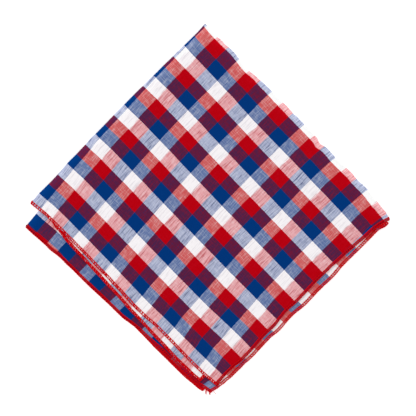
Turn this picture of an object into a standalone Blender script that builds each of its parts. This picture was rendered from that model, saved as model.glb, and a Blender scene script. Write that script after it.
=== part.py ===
"""Dog bandana: one square of cloth folded in quarters, lying flat with its loose corners towards -Y.

The first fold is the side fold, at the left, and the second is the upper fold, at the right. They meet at the
top corner, which is the middle of the cloth. Layer 1 is on top and layer 4 lies on the surface. Layers 1 and 2
share one side fold, and 3 and 4 the other. Layers 1 and 4 share the outer upper fold, and 2 and 3 the inner.

A place on a layer is given by two shares: "rightwards" is the share of the way from the side fold to the
lower right hem, and "leftwards" the share of the way from the upper fold to the lower left hem. Plan
distances run "along" (down and right) and "across" (down and left) from the top corner.
"""

from collections import namedtuple
from math import cos, exp, pi, radians, sin

import bmesh
import bpy
from mathutils import Matrix, Vector

MM = 0.001

CLOTH_THICKNESS = 1.0 * MM
LAYER_PITCH = 1.5 * MM
INNER_RADIUS = 0.5 * LAYER_PITCH
OUTER_RADIUS = 1.5 * LAYER_PITCH

# Steps of the cloth's grid: round each fold, and from a fold to a hem.
FOLD_STEPS = 8
STEPS_RIGHTWARDS = 24
STEPS_LEFTWARDS = 15

# The folded cloth's sides run at 45 degrees, with the top corner here.
SIDE_ANGLE = radians(-45.0)
TOP_CORNER = Vector((-3.1 * MM, 162.8 * MM, 0.0))

# How the top layer lies, in mm: at the top corner, then for a whole share each way, and their products.
Lay = namedtuple("Lay", "corner rightwards leftwards both rightwards_squared leftwards_squared")
ALONG = Lay(
    corner=0.8, rightwards=232.6, leftwards=-6.0, both=2.0, rightwards_squared=-2.4, leftwards_squared=8.8
)
ACROSS = Lay(
    corner=-1.2, rightwards=6.1, leftwards=225.2, both=-3.2, rightwards_squared=-1.9, leftwards_squared=-6.0
)
LENGTH_RIGHTWARDS = ALONG.rightwards * MM
LENGTH_LEFTWARDS = ACROSS.leftwards * MM

# How far each lower layer has slipped from under the top one, in mm, along and across, at its two hems.
Slip = namedtuple("Slip", "at along_2 across_2 along_3 across_3 along_4 across_4")
LOWER_LEFT_HEM = (
    Slip(at=0.00, along_2=0.0, across_2=0.0, along_3=10.8, across_3=18.6, along_4=10.8, across_4=18.6),
    Slip(at=0.12, along_2=-3.0, across_2=-0.5, along_3=10.0, across_3=18.2, along_4=9.5, across_4=17.8),
    Slip(at=0.28, along_2=-7.0, across_2=2.8, along_3=8.5, across_3=15.9, along_4=7.0, across_4=15.3),
    Slip(at=0.50, along_2=-11.0, across_2=4.4, along_3=6.0, across_3=14.0, along_4=4.0, across_4=13.8),
    Slip(at=0.75, along_2=-12.5, across_2=6.2, along_3=2.5, across_3=10.4, along_4=-1.0, across_4=12.6),
    Slip(at=0.90, along_2=-15.0, across_2=6.2, along_3=-0.5, across_3=8.8, along_4=-3.5, across_4=12.2),
    Slip(at=1.00, along_2=-17.0, across_2=6.3, along_3=-2.2, across_3=6.6, along_4=-5.0, across_4=9.8),
)
LOWER_RIGHT_HEM = (
    Slip(at=0.00, along_2=6.8, across_2=3.6, along_3=6.8, across_3=3.6, along_4=0.0, across_4=0.0),
    Slip(at=0.25, along_2=-3.0, across_2=5.5, along_3=6.2, across_3=5.5, along_4=3.0, across_4=2.0),
    Slip(at=0.50, along_2=-8.0, across_2=5.5, along_3=6.2, across_3=7.2, along_4=3.0, across_4=5.0),
    Slip(at=0.75, along_2=-12.0, across_2=6.0, along_3=4.8, across_3=8.0, along_4=0.0, across_4=8.0),
    Slip(at=1.00, along_2=-17.0, across_2=6.3, along_3=-2.2, across_3=6.6, along_4=-5.0, across_4=9.8),
)

# Waves of the upper fold's edge, in mm: how far in from a straight line, at a distance along from the corner.
Wave = namedtuple("Wave", "along inwards")
UPPER_FOLD_WAVES = (
    Wave(along=0.0, inwards=2.0),
    Wave(along=22.0, inwards=-0.1),
    Wave(along=34.0, inwards=-0.7),
    Wave(along=55.0, inwards=1.6),
    Wave(along=82.0, inwards=-1.1),
    Wave(along=115.0, inwards=-1.4),
    Wave(along=146.0, inwards=0.4),
    Wave(along=162.0, inwards=-1.1),
    Wave(along=204.0, inwards=-1.3),
    Wave(along=220.0, inwards=0.2),
    Wave(along=236.0, inwards=2.0),
)
WAVE_REACH = 14.0 * MM

# The lower right hem of layers 1 and 4 runs out beside the upper fold and in at the loose corner.
HEM_EAR = 0.022
HEM_EAR_POWER = 12
HEM_PULL = 0.014
HEM_PULL_POWER = 8

# Air in the stack: the folds spring open a little, and the middle lies in soft swells.
UPPER_FOLD_SPRING = 0.20
SIDE_FOLD_SPRING = 0.10
SPRING_REACH = 22.0 * MM
SWELL = 0.06
SWELL_LENGTH = 95.0 * MM

RED = (0.48, 0.004, 0.012, 1.0)
ROUGHNESS = 0.85


def between(rows, place, column):
    """The value of a table's column at a place between two rows, joined by a smooth step."""
    for low, high in zip(rows, rows[1:]):
        if place <= high[0]:
            share = max(0.0, (place - low[0]) / (high[0] - low[0]))
            ease = share * share * (3.0 - 2.0 * share)
            first = getattr(low, column)
            return first + (getattr(high, column) - first) * ease
    return getattr(rows[-1], column)


def lie(lay, rightwards, leftwards):
    """The top layer's distance along or across, in mm."""
    straight = lay.corner + lay.rightwards * rightwards + lay.leftwards * leftwards
    bent = lay.rightwards_squared * rightwards**2 + lay.leftwards_squared * leftwards**2
    return straight + bent + lay.both * rightwards * leftwards


def slip(layer, way, rightwards, leftwards):
    """A lower layer's slip at one place, carried in from its hems to its folds, in mm."""
    if layer == 1:
        return 0.0
    column = f"{way}_{layer}"
    at_lower_left = between(LOWER_LEFT_HEM, rightwards, column)
    at_lower_right = between(LOWER_RIGHT_HEM, leftwards, column)
    at_loose_corner = getattr(LOWER_LEFT_HEM[-1], column)
    return leftwards * at_lower_left + rightwards * at_lower_right - rightwards * leftwards * at_loose_corner


def stations(steps):
    """Places across a fold and the cloth on both sides: -1 to 1 goes round the fold, and 2 is a hem."""
    turn = [2.0 * k / FOLD_STEPS - 1.0 for k in range(FOLD_STEPS + 1)]
    flat = [1.0 + k / steps for k in range(1, steps + 1)]
    return [-place for place in reversed(flat)] + turn + flat


def round_fold(station, radius):
    """Plan distance from a fold's edge, and the rise from -1 to 1, for a fold of this radius."""
    angle = max(-1.0, min(1.0, station)) * pi / 2.0
    return radius * (1.0 - cos(angle)), sin(angle)


def beyond_fold(station):
    """The share of the way from a fold's end to the hem."""
    return max(0.0, abs(station) - 1.0)


def cloth_point(side_station, upper_station):
    """The middle of the cloth's thickness at one pair of stations, with layer 4 at height 0."""
    inset, side_rise = round_fold(side_station, INNER_RADIUS)
    from_side = inset + beyond_fold(side_station) * (LENGTH_RIGHTWARDS - INNER_RADIUS)
    rightwards = from_side / LENGTH_RIGHTWARDS

    radius = LAYER_PITCH + side_rise * INNER_RADIUS
    inset, upper_rise = round_fold(upper_station, radius)
    inset += OUTER_RADIUS - radius
    from_upper = inset + beyond_fold(upper_station) * (LENGTH_LEFTWARDS - OUTER_RADIUS)
    leftwards = from_upper / LENGTH_LEFTWARDS

    layer_shares = {
        1: (1.0 + side_rise) * (1.0 + upper_rise) / 4.0,
        2: (1.0 - side_rise) * (1.0 + upper_rise) / 4.0,
        3: (1.0 - side_rise) * (1.0 - upper_rise) / 4.0,
        4: (1.0 + side_rise) * (1.0 - upper_rise) / 4.0,
    }
    stretch = HEM_EAR * (1.0 - leftwards) ** HEM_EAR_POWER - HEM_PULL * leftwards**HEM_PULL_POWER
    reach = rightwards * (1.0 + stretch * (1.0 + side_rise) / 2.0)
    along = lie(ALONG, reach, leftwards)
    across = lie(ACROSS, reach, leftwards)
    for layer, share in layer_shares.items():
        along += share * slip(layer, "along", rightwards, leftwards)
        across += share * slip(layer, "across", rightwards, leftwards)
    across += between(UPPER_FOLD_WAVES, along, "inwards") * exp(-from_upper / WAVE_REACH)

    level = (upper_rise * radius + OUTER_RADIUS) * (1.0 + air(from_side, from_upper))
    return Vector((along * MM, -across * MM, level))


def air(from_side, from_upper):
    """The share by which the stack stands higher than its bare layers."""
    spring = UPPER_FOLD_SPRING * exp(-from_upper / SPRING_REACH)
    spring += SIDE_FOLD_SPRING * exp(-from_side / SPRING_REACH)
    side_turn = 2.0 * pi * from_side / SWELL_LENGTH
    upper_turn = 2.0 * pi * from_upper / SWELL_LENGTH
    return spring + SWELL * (1.0 - cos(side_turn) * cos(upper_turn))


def fabric():
    """The plain red that stands for the checked cotton."""
    material = bpy.data.materials.new("checked_cotton")
    material.use_nodes = True
    shader = material.node_tree.nodes["Principled BSDF"]
    shader.inputs["Base Color"].default_value = RED
    shader.inputs["Roughness"].default_value = ROUGHNESS
    shader.inputs["Metallic"].default_value = 0.0
    material.diffuse_color = RED
    return material


def folded_cloth(collection):
    """The whole cloth: a flat grid taken round both folds, then given its thickness."""
    side = stations(STEPS_RIGHTWARDS)
    upper = stations(STEPS_LEFTWARDS)
    last_side = len(side) - 1
    last_upper = len(upper) - 1
    grid = bmesh.new()
    bmesh.ops.create_grid(grid, x_segments=last_side, y_segments=last_upper, size=1.0)
    place = Matrix.Translation(TOP_CORNER) @ Matrix.Rotation(SIDE_ANGLE, 4, "Z")
    lift = Vector((0.0, 0.0, CLOTH_THICKNESS / 2.0))
    for point in grid.verts:
        column = round((point.co.x + 1.0) / 2.0 * last_side)
        row = round((point.co.y + 1.0) / 2.0 * last_upper)
        point.co = place @ (cloth_point(side[column], upper[row]) + lift)
    bmesh.ops.recalc_face_normals(grid, faces=grid.faces)
    mesh = bpy.data.meshes.new("folded_cloth")
    grid.to_mesh(mesh)
    grid.free()
    mesh.materials.append(fabric())
    mesh.shade_smooth()

    cloth = bpy.data.objects.new("folded_cloth", mesh)
    collection.objects.link(cloth)
    thickness = cloth.modifiers.new("thickness", "SOLIDIFY")
    thickness.thickness = CLOTH_THICKNESS
    thickness.offset = 0.0


def main():
    for old in list(bpy.data.objects):
        bpy.data.objects.remove(old)
    collection = bpy.data.collections.new("dog_bandana")
    bpy.context.scene.collection.children.link(collection)
    folded_cloth(collection)


main()
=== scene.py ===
"""Looks of the dog bandana: a checked cotton square folded in quarters, with an overlocked hem.

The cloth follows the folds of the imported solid. It is one sheet that goes round a side fold (upper left) and
an upper fold (upper right), so it lies in four layers. Lengths are in millimetres until a mesh is made.
"""

import logging
from dataclasses import dataclass, field
from enum import Enum, IntEnum
from typing import NamedTuple

import bpy
import numpy as np
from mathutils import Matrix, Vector


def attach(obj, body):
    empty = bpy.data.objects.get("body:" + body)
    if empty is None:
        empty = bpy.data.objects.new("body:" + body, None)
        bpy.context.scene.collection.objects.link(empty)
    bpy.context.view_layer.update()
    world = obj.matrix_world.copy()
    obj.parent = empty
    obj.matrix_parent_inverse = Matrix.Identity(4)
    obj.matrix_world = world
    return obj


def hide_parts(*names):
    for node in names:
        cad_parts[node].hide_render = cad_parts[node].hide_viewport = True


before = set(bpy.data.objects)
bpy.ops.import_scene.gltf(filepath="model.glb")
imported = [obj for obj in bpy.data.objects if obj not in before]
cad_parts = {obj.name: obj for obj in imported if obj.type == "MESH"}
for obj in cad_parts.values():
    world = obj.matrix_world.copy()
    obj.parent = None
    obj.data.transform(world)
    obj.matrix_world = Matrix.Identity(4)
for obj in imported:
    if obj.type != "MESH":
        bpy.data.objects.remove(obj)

LOG = logging.getLogger("dog_bandana")
MM = 0.001
# The soft bumps repeat after this many knots each way, and a wave of theirs takes two.
NOISE_REPEAT = 64
WAVELENGTH = 2.0
# The check repeats after this many stripes each way.
STRIPES_IN_REPEAT = 3.0
# Widths of one stripe of weft and one of warp, for a half inch gingham.
WEFT_STRIPE = 13.2
WARP_STRIPE = 11.9
WHITE = "#FFFFFF"
Array = np.ndarray


class Side(Enum):
    """A side of a fold, as the sign of its stations."""

    UPPER_LAYERS = 1.0
    LOWER_LAYERS = -1.0


class WarpStripe(Enum):
    """The warp's stripes, in the order of the repeat."""

    WHITE = 0
    RED = 1
    BLUE = 2


class Draw(IntEnum):
    """What an uneven stitch draws at random, as a step in the seed."""

    LOOPERS = 0
    SWELLING = 5
    REACH = 7
    NEEDLE = 31
    CUT_EDGE = 43
    UNDER_LOOPER = 53
    NEXT_EDGE = 100


class Edge(Enum):
    """The cut edges of the open cloth, as (station across the side fold, station across the upper fold)."""

    RIGHT_OF_TOP = (2.0, None)
    RIGHT_OF_UNDER = (-2.0, None)
    LEFT_OF_TOP = (None, 2.0)
    LEFT_OF_UNDER = (None, -2.0)


def linear(colour: str) -> tuple[float, float, float, float]:
    """Turns an sRGB hex colour to linear.

    Args:
        colour: Six hex digits after a hash mark.

    Returns:
        Red, green, blue and alpha for a shader socket.
    """
    shares = [int(colour[k : k + 2], 16) / 255.0 for k in (1, 3, 5)]
    red, green, blue = (s / 12.92 if s <= 0.04045 else ((s + 0.055) / 1.055) ** 2.4 for s in shares)
    return red, green, blue, 1.0


def add_node(
    tree: bpy.types.NodeTree, kind: str, settings: dict[str, object] | None = None, **sockets: object
) -> bpy.types.Node:
    """Adds a shader node with its settings and links.

    Args:
        tree: The material's node tree.
        kind: The node's type, without the ShaderNode prefix.
        settings: Properties of the node.
        **sockets: Values or output sockets for its inputs. A name's underscores stand for spaces, and a name
            such as in_1 is the input with that number.

    Returns:
        The new node.
    """
    node = tree.nodes.new("ShaderNode" + kind)
    for name, value in (settings or {}).items():
        setattr(node, name, value)
    for name, value in sockets.items():
        key = int(name[3:]) if name.startswith("in_") else name.replace("_", " ")
        socket = node.inputs[key]
        if isinstance(value, bpy.types.NodeSocket):
            tree.links.new(value, socket)
        else:
            socket.default_value = value
    return node


def smooth_noise(x: Array, y: Array, seed: int) -> Array:
    """Soft bumps with a wavelength of about 2, from -1 to 1.

    Args:
        x: First coordinate.
        y: Second coordinate, of the same shape.
        seed: Picks the pattern.

    Returns:
        The bumps' heights.
    """
    knots = np.random.default_rng(seed).uniform(-1.0, 1.0, (NOISE_REPEAT, NOISE_REPEAT))
    column, row = np.floor(x).astype(int), np.floor(y).astype(int)
    across, down = x - column, y - row
    across, down = across**2 * (3.0 - 2.0 * across), down**2 * (3.0 - 2.0 * down)
    column, next_column = column % NOISE_REPEAT, (column + 1) % NOISE_REPEAT
    row, next_row = row % NOISE_REPEAT, (row + 1) % NOISE_REPEAT
    near = knots[column, row] * (1.0 - across) + knots[next_column, row] * across
    far = knots[column, next_row] * (1.0 - across) + knots[next_column, next_row] * across
    return near * (1.0 - down) + far * down


def noise_along(distance: Array, seed: int) -> Array:
    """Reads one line of the soft bumps.

    Args:
        distance: Where along the line, in half wavelengths.
        seed: Picks the pattern.

    Returns:
        The bumps' heights, from -1 to 1.
    """
    return smooth_noise(distance, np.zeros_like(distance), seed)


class Knot(NamedTuple):
    """A row of a table that is joined by smooth steps: a place, and the value there."""

    at: float
    value: float


class SlipRow(NamedTuple):
    """A row of a slip table: the share of the way down a hem, and the slip along and across there."""

    share: float
    along: float
    across: float


def eased(rows: tuple[Knot, ...], place: Array) -> Array:
    """Reads a short table, joined by smooth steps.

    Args:
        rows: The table, in order of place.
        place: Where to read it.

    Returns:
        The values.
    """
    places = np.array([row.at for row in rows])
    values = np.array([row.value for row in rows])
    low = np.clip(np.searchsorted(places, place, side="right") - 1, 0, len(rows) - 2)
    share = np.clip((place - places[low]) / (places[low + 1] - places[low]), 0.0, 1.0)
    return values[low] + (values[low + 1] - values[low]) * share**2 * (3.0 - 2.0 * share)


@dataclass(frozen=True)
class Lay:
    """How the top layer lies in plan, one way.

    The fields are the distance at the top corner, for a whole share each way, and for the shares' products.
    """

    corner: float
    rightwards: float
    leftwards: float
    both: float
    rightwards_squared: float
    leftwards_squared: float

    def at(self, rightwards: Array, leftwards: Array) -> Array:
        """Gives the distance this way at a place.

        Args:
            rightwards: Share of the way from the side fold to the lower right hem.
            leftwards: Share of the way from the upper fold to the lower left hem.

        Returns:
            The distance, in millimetres.
        """
        straight = self.corner + self.rightwards * rightwards + self.leftwards * leftwards
        bent = self.rightwards_squared * rightwards**2 + self.leftwards_squared * leftwards**2
        return straight + bent + self.both * rightwards * leftwards


@dataclass(frozen=True)
class Slip:
    """How far a lower layer has slipped from under the top one, at its two hems."""

    at_lower_left: tuple[SlipRow, ...]
    at_lower_right: tuple[SlipRow, ...]

    def at(self, rightwards: Array, leftwards: Array) -> tuple[Array, Array]:
        """Carries the slip in from the hems to the folds.

        Args:
            rightwards: Share of the way from the side fold to the lower right hem.
            leftwards: Share of the way from the upper fold to the lower left hem.

        Returns:
            The slip along and across, in millimetres.
        """
        found = []
        for column in ("along", "across"):
            left = tuple(Knot(row.share, getattr(row, column)) for row in self.at_lower_left)
            right = tuple(Knot(row.share, getattr(row, column)) for row in self.at_lower_right)
            at_hems = leftwards * eased(left, rightwards) + rightwards * eased(right, leftwards)
            found.append(at_hems - rightwards * leftwards * left[-1].value)
        return found[0], found[1]


@dataclass(frozen=True)
class Turn:
    """Where places lie across one fold: up round it, and on the way from its edge to the hem.

    The rise goes from -1 on the lower layers to 1 on the upper ones. The apex is how far the fold's edge lies
    inside the outermost fold.
    """

    station: Array
    rise: Array
    radius: Array | float
    apex: Array | float
    from_fold: Array
    to_hem: Array
    share: Array


@dataclass(frozen=True)
class Spot:
    """Places on the cloth: position, stripe counts each way, and distances from the two hems."""

    position: Array
    stripe_across: Array
    stripe_along: Array
    from_right_hem: Array
    from_left_hem: Array


@dataclass(frozen=True)
class Pull:
    """A place on the top layer where the weave is pulled out of line, and how far it moves each way."""

    along: float
    across: float
    reach: float
    move_along: float
    move_across: float


@dataclass(frozen=True)
class FoldedLay:
    """The shape in which the square lies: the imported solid's folds and slips, with the hems' own waves.

    Distances run along (down and right) and across (down and left) from the top corner. A share "rightwards"
    goes from the side fold to the lower right hem, and "leftwards" from the upper fold to the lower left hem.
    """

    pitch: float = 1.5
    inner_radius: float = 0.75
    outer_radius: float = 2.25
    top_corner: tuple[float, float] = (-2.6, 163.3)
    along: Lay = Lay(
        corner=0.8, rightwards=231.9, leftwards=-6.0,
        both=2.0, rightwards_squared=-2.4, leftwards_squared=8.8,
    )
    across: Lay = Lay(
        corner=-1.1, rightwards=6.1, leftwards=225.3,
        both=-3.2, rightwards_squared=-1.9, leftwards_squared=-6.0,
    )
    second: Slip = Slip(
        at_lower_left=(
            SlipRow(0.0, 0.0, 0.0), SlipRow(0.1, -2.5, -1.0), SlipRow(0.16, -3.9, 0.6),
            SlipRow(0.22, -5.4, 2.2), SlipRow(0.29, -7.2, 2.6), SlipRow(0.4, -9.2, 3.2),
            SlipRow(0.5, -11.0, 3.9), SlipRow(0.62, -11.8, 5.2), SlipRow(0.75, -12.5, 6.2),
            SlipRow(0.87, -14.5, 6.9), SlipRow(0.95, -15.6, 6.7), SlipRow(1.0, -15.6, 6.0),
        ),
        at_lower_right=(
            SlipRow(0.0, 7.6, 2.0), SlipRow(0.03, 6.0, 3.0), SlipRow(0.09, -1.5, 4.5),
            SlipRow(0.25, -3.5, 5.5), SlipRow(0.5, -8.0, 5.5), SlipRow(0.75, -12.0, 6.0),
            SlipRow(1.0, -15.6, 6.0),
        ),
    )
    third: Slip = Slip(
        at_lower_left=(
            SlipRow(0.0, 10.8, 19.2), SlipRow(0.12, 10.0, 17.8), SlipRow(0.19, 9.3, 16.3),
            SlipRow(0.28, 8.5, 15.9), SlipRow(0.5, 6.0, 14.5), SlipRow(0.62, 4.3, 11.8),
            SlipRow(0.75, 2.5, 10.5), SlipRow(0.82, 1.0, 10.0), SlipRow(0.9, -0.5, 9.8),
            SlipRow(1.0, -2.2, 6.6),
        ),
        at_lower_right=(
            SlipRow(0.0, 8.2, 2.0), SlipRow(0.02, 8.0, 2.6), SlipRow(0.055, 6.0, 4.0),
            SlipRow(0.12, 6.3, 5.0), SlipRow(0.25, 6.3, 5.5), SlipRow(0.31, 7.3, 5.8),
            SlipRow(0.38, 6.7, 6.4), SlipRow(0.45, 6.9, 6.9), SlipRow(0.54, 5.2, 7.4),
            SlipRow(0.61, 5.8, 7.7), SlipRow(0.66, 4.4, 7.9), SlipRow(0.76, 4.2, 8.0),
            SlipRow(0.82, 3.1, 8.0), SlipRow(0.88, 2.5, 7.8), SlipRow(0.92, 1.3, 7.5),
            SlipRow(0.95, 0.1, 7.2), SlipRow(1.0, -2.2, 6.6),
        ),
    )
    fourth: Slip = Slip(
        at_lower_left=(
            SlipRow(0.0, 10.8, 19.2), SlipRow(0.12, 9.5, 17.4), SlipRow(0.19, 8.6, 16.0),
            SlipRow(0.28, 7.0, 15.4), SlipRow(0.5, 4.0, 14.3), SlipRow(0.62, 1.5, 12.4),
            SlipRow(0.75, -1.0, 12.8), SlipRow(0.82, -2.3, 12.6), SlipRow(0.9, -3.5, 12.5),
            SlipRow(0.97, -4.5, 11.4), SlipRow(1.0, -5.0, 10.4),
        ),
        at_lower_right=(
            SlipRow(0.0, 0.0, 0.0), SlipRow(0.25, 3.0, 2.0), SlipRow(0.5, 3.0, 5.0),
            SlipRow(0.75, 0.0, 8.0), SlipRow(1.0, -5.0, 10.4),
        ),
    )
    # At a distance along: how far in the upper fold's edge stands.
    upper_fold_waves: tuple[Knot, ...] = (
        Knot(0.0, 0.0), Knot(8.0, 0.6), Knot(22.0, 0.2), Knot(34.0, -0.8), Knot(55.0, 1.2),
        Knot(66.0, -0.3), Knot(82.0, -1.2), Knot(115.0, -1.4), Knot(140.0, -1.2), Knot(146.0, 0.5),
        Knot(153.0, -1.4), Knot(158.0, -1.2), Knot(163.0, -0.7), Knot(185.0, -1.7), Knot(191.0, -1.1),
        Knot(203.0, -1.6), Knot(220.0, 0.2), Knot(228.0, 0.9), Knot(236.0, 3.0),
    )
    # At a share rightwards, then leftwards: how far out the top layer's two hems stand.
    left_hem_waves: tuple[Knot, ...] = (
        Knot(0.0, 1.2), Knot(0.085, -0.8), Knot(0.16, -1.2), Knot(0.28, -1.3), Knot(0.39, -1.1),
        Knot(0.47, -0.5), Knot(0.55, 0.3), Knot(0.6, 0.2), Knot(0.68, -1.1), Knot(0.75, -1.0),
        Knot(0.85, -0.5), Knot(0.93, -0.6), Knot(0.98, -1.6), Knot(1.0, -1.8),
    )
    right_hem_waves: tuple[Knot, ...] = (
        Knot(0.0, 1.7), Knot(0.09, 1.3), Knot(0.14, 1.9), Knot(0.18, 1.4), Knot(0.25, 0.7),
        Knot(0.32, -0.1), Knot(0.38, -0.5), Knot(0.5, -0.3), Knot(0.57, -1.4), Knot(0.65, 0.1),
        Knot(0.69, -0.6), Knot(0.73, -0.4), Knot(0.76, 0.0), Knot(0.82, 0.2), Knot(0.85, 0.0),
        Knot(0.88, -1.0), Knot(0.93, -1.3), Knot(0.97, -0.5), Knot(1.0, -0.2),
    )
    # At a share leftwards: how far left the side fold's edge stands.
    side_fold_waves: tuple[Knot, ...] = (
        Knot(0.0, 1.4), Knot(0.03, 0.6), Knot(0.06, -0.1), Knot(0.12, -0.4), Knot(0.33, -0.4),
        Knot(0.42, 0.1), Knot(0.6, 0.1), Knot(0.645, 0.6), Knot(0.67, 0.1), Knot(0.73, 0.2),
        Knot(0.775, 0.7), Knot(0.82, 0.3), Knot(0.87, 0.1), Knot(0.915, 0.65), Knot(0.95, 1.3),
        Knot(1.0, 1.4),
    )
    wave_reach: float = 14.0
    side_wave_reach: float = 28.0
    # The top and bottom layers' right hem runs out beside the upper fold and in at the loose corner.
    hem_ear: float = 0.022
    hem_ear_power: int = 12
    hem_pull: float = 0.014
    hem_pull_power: int = 8
    # Air in the stack: the folds spring open, and the middle lies in soft swells.
    upper_fold_spring: float = 0.20
    side_fold_spring: float = 0.10
    spring_reach: float = 22.0
    swell: float = 0.06
    swell_length: float = 95.0
    # The thin sheet lies closer than the solid's thick layers do, and its thick hems lift it a little.
    settling: float = 0.6
    hem_settling: float = 0.5
    flat_lift: float = 0.45
    hem_lift: float = 0.92
    lift_reach: float = 11.0
    # The stripe count on the side fold and, at a share rightwards, on the upper fold.
    side_fold_stripe: float = 0.82
    upper_fold_stripes: tuple[Knot, ...] = (
        Knot(0.0, 0.86), Knot(0.07, 0.82), Knot(0.15, 0.79), Knot(0.26, 0.79), Knot(0.32, 0.73),
        Knot(0.4, 0.71), Knot(0.52, 0.67), Knot(0.62, 0.67), Knot(0.75, 0.63), Knot(1.0, 0.54),
    )
    # The inner layers were folded a little off the outer ones' line.
    upper_fold_shift: float = 0.25
    # Towards the left corner the side fold drifts off its stripe.
    fold_drift: float = 0.6
    fold_drift_start: float = 0.3
    fold_drift_power: float = 1.3
    # How far the stripes are drawn out of line beside the side fold, outwards and down it, at a share
    # leftwards, and beside the upper fold, towards the top corner, at a share rightwards.
    drawn_outwards: tuple[Knot, ...] = (
        Knot(0.0, 0.9), Knot(0.06, 1.5), Knot(0.11, 1.4), Knot(0.18, 1.0), Knot(0.22, 0.75),
        Knot(0.36, 0.75), Knot(0.42, 0.4), Knot(0.5, 0.6), Knot(0.55, 0.95), Knot(0.6, 1.1),
        Knot(0.7, 0.7), Knot(0.78, 0.7), Knot(0.87, 1.0), Knot(1.0, 0.3),
    )
    drawn_down: tuple[Knot, ...] = (
        Knot(0.0, 0.0), Knot(0.11, 0.3), Knot(0.2, 0.9), Knot(0.3, 1.1), Knot(1.0, 1.1),
    )
    drawn_back: tuple[Knot, ...] = (
        Knot(0.0, -0.2), Knot(0.07, -0.4), Knot(0.13, 0.1), Knot(0.19, 0.8), Knot(0.5, 0.8),
        Knot(0.62, 0.6), Knot(0.76, 0.4), Knot(0.82, 0.1), Knot(1.0, 0.4),
    )
    drawn_reach: float = 14.0
    # Stripe counts at the hems of the upper layers, then of the lower ones.
    right_hem_stripes: tuple[float, float] = (18.21, -16.9)
    left_hem_stripes: tuple[float, float] = (19.0, -19.2)
    # At a share of the way down a hem: stripes more, since the hems aren't cut quite along a stripe.
    right_hem_skew: tuple[Knot, ...] = (
        Knot(0.0, 0.2), Knot(0.09, 0.11), Knot(0.14, 0.04), Knot(0.25, -0.02), Knot(0.6, -0.02),
        Knot(0.75, -0.1), Knot(0.88, -0.17), Knot(0.95, -0.38), Knot(1.0, -0.43),
    )
    second_hem_skew: float = -0.06
    under_left_hem_skew: tuple[Knot, ...] = (
        Knot(0.0, -0.15), Knot(0.14, -0.27), Knot(0.21, -0.15), Knot(0.3, -0.05), Knot(1.0, 0.35),
    )
    skew_power: int = 6
    # At a share rightwards: stripes less, since the lower layers' last stripe is stretched at the left hem.
    under_left_hem_stretch: tuple[Knot, ...] = (
        Knot(0.0, 0.08), Knot(0.14, 0.14), Knot(0.24, 0.24), Knot(0.34, 0.0), Knot(1.0, 0.0),
    )
    stretch_reach: float = 6.0
    pulls: tuple[Pull, ...] = (
        Pull(along=155.0, across=68.0, reach=28.0, move_along=1.0, move_across=0.0),
        Pull(along=60.0, across=219.0, reach=24.0, move_along=-1.6, move_across=0.0),
        Pull(along=190.0, across=222.0, reach=20.0, move_along=1.0, move_across=0.0),
        Pull(along=215.0, across=176.0, reach=26.0, move_along=0.0, move_across=-1.2),
        Pull(along=28.0, across=12.0, reach=22.0, move_along=-1.2, move_across=0.0),
        Pull(along=78.0, across=12.0, reach=15.0, move_along=-0.8, move_across=0.0),
        Pull(along=224.0, across=4.0, reach=10.0, move_along=1.2, move_across=0.0),
        Pull(along=95.0, across=18.0, reach=24.0, move_along=0.0, move_across=0.6),
        Pull(along=165.0, across=165.0, reach=50.0, move_along=0.4, move_across=0.5),
        Pull(along=10.0, across=110.0, reach=40.0, move_along=0.4, move_across=0.0),
        Pull(along=18.0, across=80.0, reach=16.0, move_along=0.9, move_across=0.0),
        Pull(along=18.0, across=108.0, reach=14.0, move_along=0.7, move_across=0.0),
    )

    def turn(self, station: Array, radius: Array | float, apex: Array | float, length: float) -> Turn:
        """Takes the cloth round one fold.

        Args:
            station: Across the fold: -1 to 1 goes round it, and 2 or -2 is a hem.
            radius: The fold's radius.
            apex: How far the fold's edge lies inside the outermost fold.
            length: Nominal length from the outermost fold to the hem.

        Returns:
            Where the stations lie.
        """
        angle = np.clip(station, -1.0, 1.0) * np.pi / 2.0
        beyond = np.maximum(0.0, np.abs(station) - 1.0)
        from_fold = radius * (1.0 - np.cos(angle)) + apex + beyond * (length - radius - apex)
        share = from_fold / length
        return Turn(station, np.sin(angle), radius, apex, from_fold, (1.0 - share) * length, share)

    def layer_shares(self, side: Turn, upper: Turn) -> tuple[Array, Array, Array, Array]:
        """Shares out places among the four layers, which blend into each other round the folds.

        Args:
            side: Where the places lie across the side fold.
            upper: Where they lie across the upper fold.

        Returns:
            The shares from the top layer down, which add up to 1.
        """
        first_pair, second_pair = (1.0 + upper.rise) / 4.0, (1.0 - upper.rise) / 4.0
        outer, inner = 1.0 + side.rise, 1.0 - side.rise
        return outer * first_pair, inner * first_pair, inner * second_pair, outer * second_pair

    def plan(self, side: Turn, upper: Turn) -> tuple[Array, Array]:
        """Lays places out in plan.

        Args:
            side: Where the places lie across the side fold.
            upper: Where they lie across the upper fold.

        Returns:
            The distances along and across from the top corner.
        """
        stretch = self.hem_ear * (1.0 - upper.share) ** self.hem_ear_power
        stretch = stretch - self.hem_pull * upper.share**self.hem_pull_power
        reach = side.share * (1.0 + stretch * (1.0 + side.rise) / 2.0)
        along = self.along.at(reach, upper.share)
        across = self.across.at(reach, upper.share)
        top, *lower = self.layer_shares(side, upper)
        for slip, share in zip((self.second, self.third, self.fourth), lower):
            slip_along, slip_across = slip.at(side.share, upper.share)
            along = along + share * slip_along
            across = across + share * slip_across
        across = across + eased(self.upper_fold_waves, along) * np.exp(-upper.from_fold / self.wave_reach)

        left_wave = eased(self.left_hem_waves, side.share) * np.exp(-upper.to_hem / self.wave_reach)
        right_wave = eased(self.right_hem_waves, upper.share) * np.exp(-side.to_hem / self.wave_reach)
        side_wave = eased(self.side_fold_waves, upper.share) * np.exp(-side.from_fold / self.side_wave_reach)
        return along + top * (right_wave - side_wave), across + top * left_wave

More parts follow.
